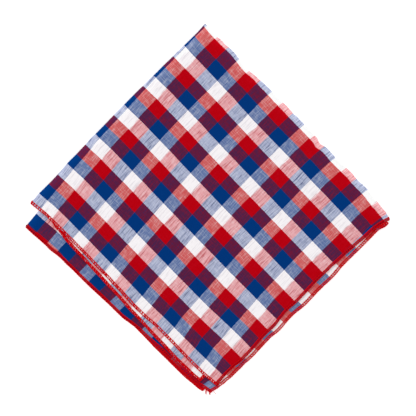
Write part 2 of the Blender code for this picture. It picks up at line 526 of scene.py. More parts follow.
    def level(self, side: Turn, upper: Turn) -> Array:
        """Gives the height of the cloth's middle over the table.

        Args:
            side: Where the places lie across the side fold.
            upper: Where they lie across the upper fold.

        Returns:
            The heights, in millimetres.
        """
        spring = self.upper_fold_spring * np.exp(-upper.from_fold / self.spring_reach)
        spring = spring + self.side_fold_spring * np.exp(-side.from_fold / self.spring_reach)
        turn = 2.0 * np.pi / self.swell_length
        air = spring + self.swell * (1.0 - np.cos(turn * side.from_fold) * np.cos(turn * upper.from_fold))
        stacked = (upper.rise * upper.radius + self.outer_radius) * (1.0 + air)
        near_hem = np.exp(-((np.minimum(side.to_hem, upper.to_hem) / self.lift_reach) ** 2))
        settled = self.settling + (self.hem_settling - self.settling) * near_hem
        return settled * stacked + self.flat_lift + (self.hem_lift - self.flat_lift) * near_hem

    def stripes_along(self, side: Turn, upper: Turn) -> Array:
        """Counts the stripes from the middle of the cloth towards the right hems.

        Args:
            side: Where the places lie across the side fold.
            upper: Where they lie across the upper fold.

        Returns:
            The counts, less than nought on the inner layers.
        """
        drift = np.maximum(0.0, (upper.share - self.fold_drift_start) / (1.0 - self.fold_drift_start))
        drift = self.fold_drift * drift**self.fold_drift_power
        fold = self.side_fold_stripe - drift * (1.0 + upper.rise) / 2.0
        skew = eased(self.right_hem_skew, upper.share) * side.share
        under_hem = self.right_hem_stripes[1] + self.second_hem_skew * upper.rise
        hem = np.where(side.station >= 0.0, self.right_hem_stripes[0] + skew, under_hem)
        round_fold = np.abs(side.station) * self.inner_radius / self.along.rightwards
        share = np.where(np.abs(side.station) < 1.0, round_fold, side.share)
        return fold + share * (hem - fold)

    def stripes_across(self, side: Turn, upper: Turn) -> Array:
        """Counts the stripes from the middle of the cloth towards the left hems.

        Args:
            side: Where the places lie across the side fold.
            upper: Where they lie across the upper fold.

        Returns:
            The counts, less than nought on the lower two layers.
        """
        apex = upper.apex / self.across.leftwards
        share = np.abs(upper.share - apex) / (1.0 - apex)
        fold = eased(self.upper_fold_stripes, side.share)
        fold = fold - self.upper_fold_shift * side.share * (1.0 - side.rise)
        hem = np.where(upper.station >= 0.0, self.left_hem_stripes[0], self.left_hem_stripes[1])
        counts = fold + share * (hem - fold)
        skew = eased(self.under_left_hem_skew, side.share) * upper.share**self.skew_power
        near_hem = np.exp(-((upper.to_hem / self.stretch_reach) ** 2))
        skew = skew + eased(self.under_left_hem_stretch, side.share) * near_hem
        counts = counts + np.where(upper.station < 0.0, skew, 0.0)
        return np.maximum(counts, self.left_hem_stripes[1])

    def drawn(self, side: Turn, upper: Turn, along: Array, across: Array) -> tuple[Array, Array]:
        """Finds how far the stripes are drawn out of line, beside the folds and at the pulls.

        Args:
            side: Where the places lie across the side fold.
            upper: Where they lie across the upper fold.
            along: Their distances along.
            across: Their distances across.

        Returns:
            What to add to the stripe counts along and across.
        """
        near_side = (1.0 + upper.rise) / 2.0 * np.exp(-((side.from_fold / self.drawn_reach) ** 2))
        near_upper = (1.0 + side.rise) / 2.0 * np.exp(-((upper.from_fold / self.drawn_reach) ** 2))
        more_along = near_side * eased(self.drawn_outwards, upper.share)
        more_along = more_along + near_upper * eased(self.drawn_back, side.share)
        more_across = -near_side * eased(self.drawn_down, upper.share)
        top = self.layer_shares(side, upper)[0]
        for pull in self.pulls:
            apart = (along - pull.along) ** 2 + (across - pull.across) ** 2
            nearness = top * np.exp(-apart / pull.reach**2)
            more_along = more_along - nearness * pull.move_along
            more_across = more_across - nearness * pull.move_across
        return more_along / WEFT_STRIPE, more_across / WARP_STRIPE

    def place(self, side_station: Array, upper_station: Array) -> Spot:
        """Finds the middle of the cloth's thickness at pairs of stations.

        Args:
            side_station: Across the side fold: -1 to 1 goes round it, and 2 or -2 is a hem.
            upper_station: Across the upper fold, in the same way.

        Returns:
            The places, with positions in millimetres.
        """
        side = self.turn(side_station, self.inner_radius, 0.0, self.along.rightwards)
        radius = self.pitch + side.rise * self.inner_radius
        upper = self.turn(upper_station, radius, self.outer_radius - radius, self.across.leftwards)
        along, across = self.plan(side, upper)
        diagonal = np.sqrt(0.5)
        x = self.top_corner[0] + (along - across) * diagonal
        y = self.top_corner[1] - (along + across) * diagonal
        more_along, more_across = self.drawn(side, upper, along, across)
        return Spot(
            position=np.stack([x, y, self.level(side, upper)], -1),
            stripe_across=self.stripes_across(side, upper) + more_across,
            stripe_along=self.stripes_along(side, upper) + more_along,
            from_right_hem=side.to_hem,
            from_left_hem=upper.to_hem,
        )


@dataclass(frozen=True)
class CheckedCotton:
    """Crinkled gingham: a plain weave of dyed cotton yarns in wide stripes both ways.

    Yarns of two colours mix to an even tint where stripes cross, and the yarn that bends more shows more. The
    cloth is matt, since its short fibres scatter the light.
    """

    name: str = "crinkled_gingham_cotton"
    # What a warp stripe looks like where the weft is blue, white and red.
    on_white_warp: tuple[str, str, str] = ("#AEB5D0", "#FAF5F8", "#E8A9AE")
    on_red_warp: tuple[str, str, str] = ("#591C3D", "#CE5E5E", "#B6000E")
    on_blue_warp: tuple[str, str, str] = ("#003578", "#6679A6", "#511F40")
    weft_yarn: tuple[str, str, str] = ("#0A3678", "#FFFFFF", "#C8142A")
    warp_yarn: tuple[str, str, str] = ("#FFFFFF", "#B8000C", "#0A3678")
    # Where each first two stripes end, as shares of the repeat of three.
    warp_stripe_ends: tuple[float, float] = (0.3483, 0.67)
    weft_stripe_ends: tuple[float, float] = (0.3483, 0.652)
    # The slack white warp hides the first red wefts.
    weft_ends_on_white: tuple[float, float] = (0.3483, 0.674)
    # Stripe edges wander by a yarn or two, in bends about 1 mm long.
    edge_wander: float = 0.05
    wander_scale: float = 0.8
    wander_detail: float = 3.0
    # Yarns are 0.28 mm apart, too fine for the render, so the weave is drawn at twice that.
    weave_pitch: float = 0.56
    weave_height: float = 0.06
    weave_strength: float = 0.6
    # A slub, or thick place in a yarn, is about 1 mm wide as drawn here and runs for 9 mm.
    slub_width: float = 1.0
    slub_length: float = 9.0
    slub_detail: float = 2.0
    slub_roughness: float = 0.6
    slub_relief: float = 2.2
    weft_slubs: float = 0.8
    warp_slubs: float = 0.6
    # Creases of the slack white warp: about 1 mm wide and 12 mm long.
    crease_width: float = 1.15
    crease_length: float = 12.0
    crease_detail: float = 1.0
    crease_roughness: float = 0.5
    crease_distortion: float = 0.4
    crease_start: float = 0.49
    crease_strength: float = 2.15
    crease_shade: str = "#DAD3DA"
    hem_shade: str = "#3C0410"
    # Painted light: round the folds the cloth's colour is brightened by this gain, so the fold edges look
    # paler.
    painted_fold_light_gain: float = 1.3
    roughness: float = 0.92
    specular: float = 0.02

    def stripes(
        self,
        tree: bpy.types.NodeTree,
        phase: bpy.types.NodeSocket,
        colours: tuple[str, ...],
        ends: tuple[float, float],
    ) -> bpy.types.NodeSocket:
        """Paints three stripes over one repeat.

        Args:
            tree: The material's node tree.
            phase: Place in the repeat, from 0 to 1.
            colours: The stripes' colours.
            ends: Where the first two stripes end.

        Returns:
            The colour socket.
        """
        node = add_node(tree, "ValToRGB", in_0=phase)
        ramp = node.color_ramp
        ramp.interpolation = "CONSTANT"
        ramp.elements[0].color = linear(colours[0])
        ramp.elements[1].position = ends[0]
        ramp.elements[1].color = linear(colours[1])
        ramp.elements.new(ends[1]).color = linear(colours[2])
        return node.outputs["Color"]

    def mask(
        self, tree: bpy.types.NodeTree, warp_phase: bpy.types.NodeSocket, stripe: WarpStripe
    ) -> bpy.types.NodeSocket:
        """Picks out one of the warp's stripes.

        Args:
            tree: The material's node tree.
            warp_phase: Place in the warp's repeat.
            stripe: Which stripe.

        Returns:
            A socket that is white there and black elsewhere.
        """
        colours = tuple("#FFFFFF" if other is stripe else "#000000" for other in WarpStripe)
        return self.stripes(tree, warp_phase, colours, self.warp_stripe_ends)

    def phases(
        self, tree: bpy.types.NodeTree, place: bpy.types.NodeSocket, on_cloth: bpy.types.NodeSocket
    ) -> tuple[bpy.types.NodeSocket, bpy.types.NodeSocket]:
        """Finds the place in the repeat each way, with stripe edges that wander a little.

        Args:
            tree: The material's node tree.
            place: The stripe counts.
            on_cloth: The place on the open cloth, in millimetres.

        Returns:
            The weft's phase and the warp's, from 0 to 1.
        """
        wander = add_node(tree, "TexNoise", {"noise_dimensions": "2D"}, Vector=on_cloth,
                          Scale=self.wander_scale, Detail=self.wander_detail).outputs["Color"]
        centred = add_node(tree, "VectorMath", {"operation": "SUBTRACT"}, in_0=wander,
                           in_1=(0.5, 0.5, 0.5)).outputs[0]
        reach = (self.edge_wander, self.edge_wander, 0.0)
        moved = add_node(tree, "VectorMath", {"operation": "MULTIPLY_ADD"}, in_0=centred, in_1=reach,
                         in_2=place).outputs[0]
        counts = add_node(tree, "SeparateXYZ", Vector=moved).outputs
        repeats = [
            add_node(tree, "Math", {"operation": "DIVIDE"}, in_0=counts[axis], in_1=STRIPES_IN_REPEAT)
            for axis in ("X", "Y")
        ]
        weft_phase, warp_phase = (
            add_node(tree, "Math", {"operation": "FRACT"}, in_0=repeat.outputs[0]).outputs[0]
            for repeat in repeats
        )
        return weft_phase, warp_phase

    def crossings(
        self, tree: bpy.types.NodeTree, weft_phase: bpy.types.NodeSocket, warp_phase: bpy.types.NodeSocket
    ) -> bpy.types.NodeSocket:
        """Paints the nine tints where three weft stripes cross three warp stripes.

        Args:
            tree: The material's node tree.
            weft_phase: Place in the weft's repeat.
            warp_phase: Place in the warp's repeat.

        Returns:
            The colour socket.
        """
        colour = self.stripes(tree, weft_phase, self.on_white_warp, self.weft_ends_on_white)
        for stripe, tints in ((WarpStripe.RED, self.on_red_warp), (WarpStripe.BLUE, self.on_blue_warp)):
            there = self.mask(tree, warp_phase, stripe)
            painted = self.stripes(tree, weft_phase, tints, self.weft_stripe_ends)
            colour = add_node(tree, "Mix", {"data_type": "RGBA"}, in_0=there, in_6=colour,
                              in_7=painted).outputs[2]
        return colour

    def streaks(
        self,
        tree: bpy.types.NodeTree,
        on_cloth: bpy.types.NodeSocket,
        size: tuple[float, float],
        **look: float,
    ) -> bpy.types.NodeSocket:
        """Makes noise that is drawn out one way.

        Args:
            tree: The material's node tree.
            on_cloth: The place on the open cloth, in millimetres.
            size: How far a streak runs along and across, in millimetres.
            **look: The noise node's other values.

        Returns:
            The noise socket, around a half.
        """
        shares = (1.0 / size[0], 1.0 / size[1], 0.0)
        place = add_node(tree, "VectorMath", {"operation": "MULTIPLY"}, in_0=on_cloth, in_1=shares).outputs[0]
        noise = add_node(tree, "TexNoise", {"noise_dimensions": "2D"}, Vector=place, Scale=1.0, **look)
        return noise.outputs[0]

    def slubbed(
        self,
        tree: bpy.types.NodeTree,
        colour: bpy.types.NodeSocket,
        slub: bpy.types.NodeSocket,
        strength: float,
        yarns: tuple[bpy.types.NodeSocket, bpy.types.NodeSocket],
    ) -> bpy.types.NodeSocket:
        """Lets the weft show more in some yarns and the warp in others.

        Args:
            tree: The material's node tree.
            colour: The cloth's colour.
            slub: The slubs' noise.
            strength: How much they show.
            yarns: The weft's own colour and the warp's.

        Returns:
            The colour socket.
        """
        for yarn, sign in zip(yarns, (1.0, -1.0)):
            gain = sign * strength
            share = add_node(tree, "Math", {"operation": "MULTIPLY_ADD", "use_clamp": True}, in_0=slub,
                             in_1=gain, in_2=-0.5 * gain).outputs[0]
            colour = add_node(tree, "Mix", {"data_type": "RGBA"}, in_0=share, in_6=colour,
                              in_7=yarn).outputs[2]
        return colour

    def creased(
        self,
        tree: bpy.types.NodeTree,
        colour: bpy.types.NodeSocket,
        on_cloth: bpy.types.NodeSocket,
        weft: bpy.types.NodeSocket,
        is_white: bpy.types.NodeSocket,
    ) -> bpy.types.NodeSocket:
        """Draws the weft together in creases, so its colour deepens and they lie in their own shade.

        Args:
            tree: The material's node tree.
            colour: The cloth's colour.
            on_cloth: The place on the open cloth, in millimetres.
            weft: The weft's own colour.
            is_white: Where the warp is white.

        Returns:
            The colour socket.
        """
        creases = self.streaks(tree, on_cloth, (self.crease_width, self.crease_length),
                               Detail=self.crease_detail, Roughness=self.crease_roughness,
                               Distortion=self.crease_distortion)
        offset = -self.crease_start * self.crease_strength
        depth = add_node(tree, "Math", {"operation": "MULTIPLY_ADD", "use_clamp": True}, in_0=creases,
                         in_1=self.crease_strength, in_2=offset).outputs[0]
        in_white = add_node(tree, "Math", {"operation": "MULTIPLY"}, in_0=depth, in_1=is_white).outputs[0]
        deepened = add_node(tree, "Mix", {"data_type": "RGBA", "blend_type": "MULTIPLY"}, in_0=1.0,
                            in_6=weft, in_7=linear(self.crease_shade)).outputs[2]
        return add_node(tree, "Mix", {"data_type": "RGBA"}, in_0=in_white, in_6=colour,
                        in_7=deepened).outputs[2]

    def shaded(
        self, tree: bpy.types.NodeTree, colour: bpy.types.NodeSocket, place: bpy.types.NodeSocket
    ) -> bpy.types.NodeSocket:
        """Adds painted light that makes the cloth paler round the folds, and painted shade on the rolled cloth
        between the stitches.

        Args:
            tree: The material's node tree.
            colour: The cloth's colour.
            place: The mesh's values, which carry painted shade above nought and painted light below it.

        Returns:
            The colour socket.
        """
        shade = add_node(tree, "SeparateXYZ", Vector=place).outputs["Z"]
        # Painted light: below nought the colour is brightened by the fold gain.
        painted_light_share = add_node(tree, "Math", {"operation": "MULTIPLY", "use_clamp": True}, in_0=shade,
                            in_1=-1.0).outputs[0]
        gain = (self.painted_fold_light_gain, self.painted_fold_light_gain, self.painted_fold_light_gain, 1.0)
        lit = {"data_type": "RGBA", "blend_type": "MULTIPLY", "clamp_result": True}
        colour = add_node(tree, "Mix", lit, in_0=painted_light_share, in_6=colour, in_7=gain).outputs[2]
        return add_node(tree, "Mix", {"data_type": "RGBA"}, in_0=shade, in_6=colour,
                        in_7=linear(self.hem_shade)).outputs[2]

    def weave(
        self, tree: bpy.types.NodeTree, on_cloth: bpy.types.NodeSocket, slub: bpy.types.NodeSocket
    ) -> bpy.types.NodeSocket:
        """Raises a yarn at every second crossing, and the slubs.

        Args:
            tree: The material's node tree.
            on_cloth: The place on the open cloth, in millimetres.
            slub: The weft slubs' noise.

        Returns:
            The normal socket.
        """
        turns = 2.0 * np.pi / self.weave_pitch
        angles = add_node(tree, "VectorMath", {"operation": "MULTIPLY"}, in_0=on_cloth,
                          in_1=(turns, turns, 0.0)).outputs[0]
        waves = add_node(tree, "VectorMath", {"operation": "SINE"}, in_0=angles).outputs[0]
        parts = add_node(tree, "SeparateXYZ", Vector=waves).outputs
        crossings = add_node(tree, "Math", {"operation": "MULTIPLY"}, in_0=parts["X"],
                             in_1=parts["Y"]).outputs[0]
        relief = add_node(tree, "Math", {"operation": "MULTIPLY_ADD"}, in_0=slub, in_1=self.slub_relief,
                          in_2=crossings).outputs[0]
        return add_node(tree, "Bump", Strength=self.weave_strength, Distance=self.weave_height * MM,
                        Height=relief).outputs[0]

    def make(self) -> bpy.types.Material:
        """Makes the material. It reads the stripe counts, the hems' painted shade and the folds' painted light
        from the cloth's mesh.

        Returns:
            The new material.
        """
        material = bpy.data.materials.new(self.name)
        material.use_nodes = True
        tree = material.node_tree
        tree.nodes.clear()
        place = add_node(tree, "Attribute", {"attribute_name": "flat_place"}).outputs["Vector"]
        on_cloth = add_node(tree, "VectorMath", {"operation": "MULTIPLY"}, in_0=place,
                            in_1=(WEFT_STRIPE, WARP_STRIPE, 0.0)).outputs[0]
        weft_phase, warp_phase = self.phases(tree, place, on_cloth)
        colour = self.crossings(tree, weft_phase, warp_phase)

        weft = self.stripes(tree, weft_phase, self.weft_yarn, self.weft_stripe_ends)
        warp = self.stripes(tree, warp_phase, self.warp_yarn, self.warp_stripe_ends)
        look = {"Detail": self.slub_detail, "Roughness": self.slub_roughness}
        weft_slub = self.streaks(tree, on_cloth, (self.slub_width, self.slub_length), **look)
        warp_slub = self.streaks(tree, on_cloth, (self.slub_length, self.slub_width), **look)
        colour = self.slubbed(tree, colour, weft_slub, self.weft_slubs, (weft, warp))
        colour = self.slubbed(tree, colour, warp_slub, self.warp_slubs, (weft, warp))
        is_white = self.mask(tree, warp_phase, WarpStripe.WHITE)
        colour = self.creased(tree, colour, on_cloth, weft, is_white)
        colour = self.shaded(tree, colour, place)

        shader = add_node(tree, "BsdfPrincipled", Base_Color=colour, Roughness=self.roughness,
                          Specular_IOR_Level=self.specular, Normal=self.weave(tree, on_cloth, weft_slub))
        add_node(tree, "OutputMaterial", Surface=shader.outputs[0])
        return material


@dataclass(frozen=True)
class SewingThread:
    """Spun polyester thread, dyed red: two plies twisted together, with a dull shine along the twist."""

    name: str = "spun_polyester_thread"
    light: str = "#DE000E"
    deep: str = "#B40009"
    # The twist repeats every 0.5 mm, drawn as a fine mottle.
    twist: float = 0.5
    fibre_detail: float = 2.0
    fibre_height: float = 0.08
    fibre_strength: float = 0.5
    roughness: float = 0.7
    specular: float = 0.04

    def make(self) -> bpy.types.Material:
        """Makes the material.

        Returns:
            The new material.
        """
        material = bpy.data.materials.new(self.name)
        material.use_nodes = True
        tree = material.node_tree
        tree.nodes.clear()
        where = add_node(tree, "TexCoord").outputs["Object"]
        fibres = add_node(tree, "TexNoise", Vector=where, Scale=1.0 / (self.twist * MM),
                          Detail=self.fibre_detail).outputs[0]
        tint = add_node(tree, "Mix", {"data_type": "RGBA"}, in_0=fibres, in_6=linear(self.deep),
                        in_7=linear(self.light)).outputs[2]
        bump = add_node(tree, "Bump", Strength=self.fibre_strength, Distance=self.fibre_height * MM,
                        Height=fibres)
        shader = add_node(tree, "BsdfPrincipled", Base_Color=tint, Roughness=self.roughness,
                          Specular_IOR_Level=self.specular, Normal=bump.outputs[0])
        add_node(tree, "OutputMaterial", Surface=shader.outputs[0])
        return material


def add_piece(
    name: str, points: Array, faces: list[tuple[int, ...]], material: bpy.types.Material
) -> bpy.types.Object:
    """Makes a piece that rides on the cloth's body.

    Args:
        name: The piece's name.
        points: Vertices, in millimetres.
        faces: Corner numbers of each face.
        material: The piece's finish.

    Returns:
        The new object.
    """
    mesh = bpy.data.meshes.new(name)
    mesh.from_pydata((points.reshape(-1, 3) * MM).tolist(), [], faces)
    mesh.validate()
    mesh.materials.append(material)
    mesh.shade_smooth()
    piece = bpy.data.objects.new(name, mesh)
    bpy.context.scene.collection.objects.link(piece)
    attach(piece, "root")
    return piece


@dataclass
class GinghamCloth:
    """The cloth: one thin sheet on the lay's folds, with creases in its slack stripes."""

    lay: FoldedLay
    finish: CheckedCotton
    half_thickness: float = 0.17
    hem_half_thickness: float = 0.34
    hem_width: float = 2.7
    hem_steps: tuple[float, ...] = (0.0, 0.15, 0.5, 1.0, 1.6, 2.2, 2.7)
    column_spacing: float = 0.8
    hidden_column_spacing: float = 5.0
    row_spacing: float = 2.75
    hidden_row_spacing: float = 8.0
    fold_steps: int = 8
    # Fine creases' depth, width and length. Broad ones follow each other at these rates beside the fine ones.
    crease_depth: float = 0.4
    crease_width: float = 3.2
    crease_length: float = 13.0
    broad_width_rate: float = 0.45
    broad_length_rate: float = 0.65
    fine_share: float = 0.6
    broad_share: float = 0.6
    # Fine creases are narrow troughs in the bumps' zero lines, set so that they average about nought.
    trough_width: float = 0.35
    trough_level: float = 0.6
    # Creases sway by this much, over these lengths along and across.
    crease_sway: float = 1.6
    sway_along: float = 17.0
    sway_across: float = 9.0
    sway_seed: int = 5
    fine_seed: int = 11
    broad_seed: int = 23
    # How flat the creases' strength is over a white stripe, and what is left of it on the other stripes.
    white_flatness: float = 0.8
    other_stripes: float = 0.25
    calm_reach: float = 3.0
    # How far in from a fold the painted light reaches.
    painted_light_reach: float = 5.0
    # The share of the hem's width that lies in its stitches' shade.
    shaded_share: float = 0.9
    # How much painted shade darkens the cloth between each edge's stitches.
    hem_shades: dict[Edge, float] = field(default_factory=lambda: {
        Edge.RIGHT_OF_TOP: 0.8, Edge.RIGHT_OF_UNDER: 0.25, Edge.LEFT_OF_TOP: 0.0, Edge.LEFT_OF_UNDER: 0.7,
    })

    def stations(self, length: float, radius: float, spacing: float, hidden_spacing: float) -> Array:
        """Spreads stations from one hem round the fold to the other.

        Args:
            length: Nominal length from fold to hem.
            radius: Where the fold ends.
            spacing: Between stations on the upper layers.
            hidden_spacing: Between stations on the lower layers.

        Returns:
            The stations, from -2 to 2.
        """
        turn = np.linspace(-1.0, 1.0, self.fold_steps + 1)
        hem = 1.0 - np.array(self.hem_steps[::-1]) / (length - radius)
        sides = {}
        for side, gap in ((Side.LOWER_LAYERS, hidden_spacing), (Side.UPPER_LAYERS, spacing)):
            steps = max(2, round(hem[0] * (length - radius) / gap))
            flat = np.concatenate([np.linspace(0.0, hem[0], steps + 1)[1:-1], hem])
            sides[side] = side.value * (1.0 + flat)
        return np.concatenate([sides[Side.LOWER_LAYERS][::-1], turn, sides[Side.UPPER_LAYERS]])

    def creases(self, spot: Spot) -> Array:
        """Creases of the slack white warp stripes, and fainter ones elsewhere.

        Args:
            spot: Places on the cloth.

        Returns:
            Heights, in millimetres.
        """
        along = spot.stripe_along * WEFT_STRIPE
        across = spot.stripe_across * WARP_STRIPE
        sway = smooth_noise(across / self.sway_across, along / self.sway_along, self.sway_seed)
        rightwards = WAVELENGTH * (along + self.crease_sway * sway) / self.crease_width
        downwards = WAVELENGTH * across / self.crease_length
        fine = smooth_noise(rightwards, downwards, self.fine_seed)
        broad = smooth_noise(self.broad_width_rate * rightwards, self.broad_length_rate * downwards,
                             self.broad_seed)
        troughs = 1.0 - np.exp(-((fine / self.trough_width) ** 2)) - self.trough_level
        phase = np.mod(spot.stripe_across, STRIPES_IN_REPEAT)
        white_end = STRIPES_IN_REPEAT * self.finish.warp_stripe_ends[0]
        over_white = np.sin(np.pi * np.clip(phase / white_end, 0.0, 1.0)) ** self.white_flatness
        in_white = np.where(phase < white_end, over_white, 0.0)
        strength = self.other_stripes + (1.0 - self.other_stripes) * in_white
        from_hem = np.minimum(spot.from_right_hem, spot.from_left_hem)
        calm = 1.0 - np.exp(-((from_hem / self.calm_reach) ** 2))
        return self.crease_depth * strength * calm * (self.fine_share * troughs + self.broad_share * broad)

    def shade(self, spot: Spot, side: Array, upper: Array) -> Array:
        """Painted shade between the hems' stitches, and painted light round the folds.

        Args:
            spot: Places on the cloth.
            side: Their stations across the side fold.
            upper: Their stations across the upper fold.

        Returns:
            Shares of painted shade, less than nought where painted light makes the cloth paler.
        """
        shades = self.hem_shades
        right = np.where(side > 0.0, shades[Edge.RIGHT_OF_TOP], shades[Edge.RIGHT_OF_UNDER])
        left = np.where(upper > 0.0, shades[Edge.LEFT_OF_TOP], shades[Edge.LEFT_OF_UNDER])
        reach = self.shaded_share * self.hem_width
        in_right_hem, in_left_hem = spot.from_right_hem < reach, spot.from_left_hem < reach
        shade = np.maximum(np.where(in_right_hem, right, 0.0), np.where(in_left_hem, left, 0.0))
        # Painted light: the colour is made paler within a few millimetres of either fold.
        from_side = self.lay.along.rightwards - spot.from_right_hem
        from_upper = self.lay.across.leftwards - spot.from_left_hem
        from_fold = np.minimum(from_side, from_upper)
        painted_fold_light = np.exp(-((from_fold / self.painted_light_reach) ** 2))
        return np.where(in_right_hem | in_left_hem, shade, -painted_fold_light)

    def normals(self, points: Array) -> Array:
        """Unit normals of a grid of points, outwards on the top layer.

        Args:
            points: Grid of positions.

        Returns:
            A grid of unit vectors.
        """
        downwards = np.gradient(points, axis=1)
        rightwards = np.gradient(points, axis=0)
        normal = np.cross(downwards, rightwards)
        return normal / np.linalg.norm(normal, axis=-1, keepdims=True)

    def build(self) -> tuple[Array, list[tuple[int, ...]], Array]:
        """Lays out the sheet's two sides and its rims.

        Returns:
            Vertices, faces, and the stripe counts and shade at each vertex.
        """
        columns = self.stations(self.lay.along.rightwards, self.lay.inner_radius, self.column_spacing,
                                self.hidden_column_spacing)
        rows = self.stations(self.lay.across.leftwards, self.lay.outer_radius, self.row_spacing,
                             self.hidden_row_spacing)
        side, upper = np.meshgrid(columns, rows, indexing="ij")
        spot = self.lay.place(side, upper)
        crease = self.creases(spot)
        middle = spot.position + self.normals(spot.position) * crease[..., None]
        from_hem = np.minimum(spot.from_right_hem, spot.from_left_hem)
        roll = 1.0 - (from_hem / (0.5 * self.hem_width) - 1.0) ** 2
        half = np.maximum(self.half_thickness, self.hem_half_thickness * np.sqrt(np.clip(roll, 0.0, 1.0)))
        offset = self.normals(middle) * half[..., None]
        points = np.stack([middle + offset, middle - offset])

        wide, long = side.shape
        number = np.arange(2 * wide * long).reshape(2, wide, long)
        faces: list[tuple[int, ...]] = []
        for face_side, turned in ((0, False), (1, True)):
            grid = number[face_side]
            corners = [grid[:-1, :-1], grid[:-1, 1:], grid[1:, 1:], grid[1:, :-1]]
            quads = np.stack(corners, -1).reshape(-1, 4)
            faces += map(tuple, (quads[:, ::-1] if turned else quads).tolist())
        top = number[0]
        loop = np.concatenate([top[:-1, 0], top[-1, :-1], top[:0:-1, -1], top[0, :0:-1]])
        under = loop + wide * long
        rim = np.stack([loop, np.roll(loop, -1), np.roll(under, -1), under], -1)
        faces += map(tuple, rim.tolist())
        shade = self.shade(spot, side, upper)
        carried = np.stack([spot.stripe_along, spot.stripe_across, shade], -1)
        return points, faces, np.concatenate([carried.reshape(-1, 3)] * 2)

    def dress(self) -> bpy.types.Object:
        """Makes the piece and its finish.

        Returns:
            The sheet of cloth.
        """
        points, faces, carried = self.build()
        piece = add_piece("checked_cloth", points, faces, self.finish.make())
        attribute = piece.data.attributes.new("flat_place", "FLOAT_VECTOR", "POINT")
        attribute.data.foreach_set("vector", carried.astype(np.float32).ravel())
        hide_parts("folded_cloth")
        return piece


@dataclass(frozen=True)
class HemPath:
    """One cut edge of the cloth, walked by distance and round the folds."""

    lay: FoldedLay
    edge: Edge
    middle_inset: float = 1.3
    # How finely the hem is measured: on each layer and round the fold between them.
    layer_samples: int = 800
    fold_samples: int = 200
    # Half the step between stations that gives the cloth's slope.
    slope_step: float = 0.002

    def stations(self, way: Array, inset: Array) -> tuple[Array, Array]:
        """Turns a place on the hem to the lay's stations.

        Args:
            way: Station along the hem, from -2 to 2.
            inset: Distance in from the cut edge.

        Returns:
            The side and upper stations.
        """
        side, upper = self.edge.value
        if side is not None:
            length = self.lay.along.rightwards - self.lay.inner_radius
            return np.sign(side) * (2.0 - inset / length), way
        length = self.lay.across.leftwards - self.lay.outer_radius
        return way, np.sign(upper) * (2.0 - inset / length)

    def walk(self, step: float) -> tuple[Array, Array]:
        """Steps along the hem in even distances.

        Args:
            step: Distance between steps.

        Returns:
            The distances, and the stations along the hem.
        """
        way = np.concatenate([
            np.linspace(-2.0, -1.0, self.layer_samples),
            np.linspace(-1.0, 1.0, self.fold_samples)[1:-1],
            np.linspace(1.0, 2.0, self.layer_samples),
        ])
        side, upper = self.stations(way, np.full_like(way, self.middle_inset))
        position = self.lay.place(side, upper).position
        reached = np.concatenate([[0.0], np.cumsum(np.linalg.norm(np.diff(position, axis=0), axis=1))])
        distance = np.arange(0.0, reached[-1], step)
        return distance, np.interp(distance, reached, way)

    def lift(self, way: Array, inset: Array, height: Array) -> tuple[Array, Array]:
        """Finds points at a height above the cloth.

        Args:
            way: Station along the hem.
            inset: Distance in from the cut edge.
            height: Above the middle of the cloth's thickness.

        Returns:
            The points, and the cloth's unit normals there.
        """
        side, upper = self.stations(way, inset)
        step, place = self.slope_step, self.lay.place
        rightwards = place(side + step, upper).position - place(side - step, upper).position
        downwards = place(side, upper + step).position - place(side, upper - step).position
        normal = np.cross(downwards, rightwards)
        normal /= np.linalg.norm(normal, axis=-1, keepdims=True)
        return place(side, upper).position + normal * np.asarray(height)[..., None], normal


@dataclass
class Strands:
    """Tubes gathered into one mesh."""

    sides: int = 5
    points: list[Array] = field(default_factory=list)
    faces: list[tuple[int, ...]] = field(default_factory=list)
    count: int = 0

    def add(
        self, path: Array, normal: Array, half_width: Array | float, half_height: Array | float
    ) -> None:
        """Adds one tube with closed ends.

        Args:
            path: The tube's middle line.
            normal: Which way is up along it.
            half_width: Half its width, beside the normal.
            half_height: Half its height.
        """
        forward = np.gradient(path, axis=0)
        forward /= np.linalg.norm(forward, axis=1, keepdims=True)
        beside = np.cross(forward, normal)
        beside /= np.linalg.norm(beside, axis=1, keepdims=True)
        above = np.cross(beside, forward)
        angle = 2.0 * np.pi * np.arange(self.sides) / self.sides
        width = np.broadcast_to(half_width, len(path))[:, None, None]
        height = np.broadcast_to(half_height, len(path))[:, None, None]
        ring = beside[:, None] * np.cos(angle)[:, None] * width
        ring = ring + above[:, None] * np.sin(angle)[:, None] * height
        number = self.count + np.arange(len(path) * self.sides).reshape(len(path), self.sides)
        turned = np.roll(number, -1, axis=1)
        quads = np.stack([number[:-1], turned[:-1], turned[1:], number[1:]], -1).reshape(-1, 4)
        self.faces += map(tuple, quads[:, ::-1].tolist())
        self.faces += [tuple(number[0].tolist()), tuple(number[-1, ::-1].tolist())]
        self.points.append((path[:, None] + ring).reshape(-1, 3))
        self.count += number.size

    def piece(self, name: str, material: bpy.types.Material) -> bpy.types.Object:
        """Makes the piece of all its tubes."""
        return add_piece(name, np.concatenate(self.points), self.faces, material)


@dataclass(frozen=True)
class ThreadTail:
    """A loose end of thread at the loose corner.

    It goes from a start to an end in plan, bows sideways, and comes down to the table from a level.
    """

    start: tuple[float, float]
    end: tuple[float, float]
    bow: float
    half_thickness: float
    level: float


@dataclass(frozen=True)
class Stitch:
    """One edge's stitch: its length, where in it the second looper falls, and how uneven both are.

    The thread's half thickness swells and thins by a share, which closes some of the gaps between stitches.
    """

    length: float
    second_looper: float
    uneven: float
    thread: float
    swelling: float


